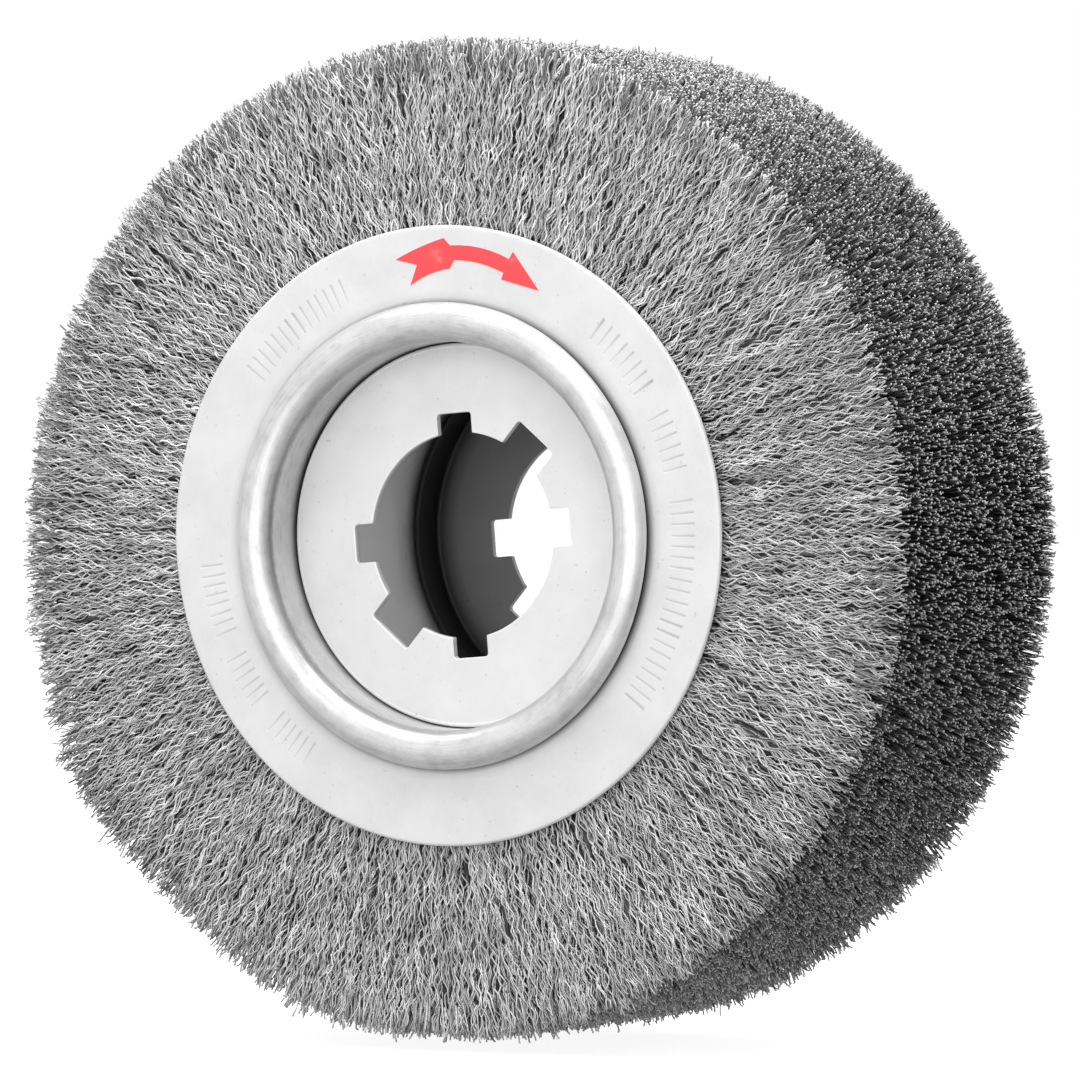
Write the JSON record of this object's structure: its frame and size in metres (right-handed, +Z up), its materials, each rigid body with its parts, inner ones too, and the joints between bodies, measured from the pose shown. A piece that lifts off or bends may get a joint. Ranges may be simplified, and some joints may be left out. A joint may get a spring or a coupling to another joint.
{
  "type": "wide-face crimped-wire wheel brush",
  "caption": "Wide wheel brush: a drum of crimped steel wire packed radially round a sheet-steel hub, with keyed arbor plates, flange rings and a core tube curled over them.",
  "frame": {"origin": "middle of the hub on the brush axis, halfway between the two sides", "axes": "+Y along the brush axis from the front side to the rear side, so the front faces -Y; +Z up; +X to the right seen from the front"},
  "size_m": [0.249, 0.1032, 0.249],
  "materials": {
    "core_tube": "rolled strip, satin, plated",
    "front_arbor_plate": "pressed sheet, dull plated",
    "rear_arbor_plate": "pressed sheet, dull plated",
    "front_flange_ring": "pressed sheet, dull plated, fine specks",
    "rear_flange_ring": "pressed sheet, dull plated, fine specks",
    "retaining_ring_1": "plain drawn steel",
    "retaining_ring_2": "plain drawn steel",
    "retaining_ring_3": "plain drawn steel",
    "retaining_ring_4": "plain drawn steel",
    "wire_fill_1": "crimped steel wire, clean, slightly dark in the gaps",
    "wire_fill_2": "crimped steel wire, clean, slightly dark in the gaps",
    "wire_fill_3": "crimped steel wire, clean, slightly dark in the gaps",
    "wire_fill_4": "crimped steel wire, clean, slightly dark in the gaps"
  },
  "bodies": {
    "root": {"core_tube": "core_tube", "front_arbor_plate": "front_arbor_plate", "rear_arbor_plate": "rear_arbor_plate", "front_flange_ring": "front_flange_ring", "rear_flange_ring": "rear_flange_ring", "retaining_ring_1": "retaining_ring_1", "retaining_ring_2": "retaining_ring_2", "retaining_ring_3": "retaining_ring_3", "retaining_ring_4": "retaining_ring_4", "wire_fill_1": "wire_fill_1", "wire_fill_2": "wire_fill_2", "wire_fill_3": "wire_fill_3", "wire_fill_4": "wire_fill_4"}
  },
  "joints": []
}
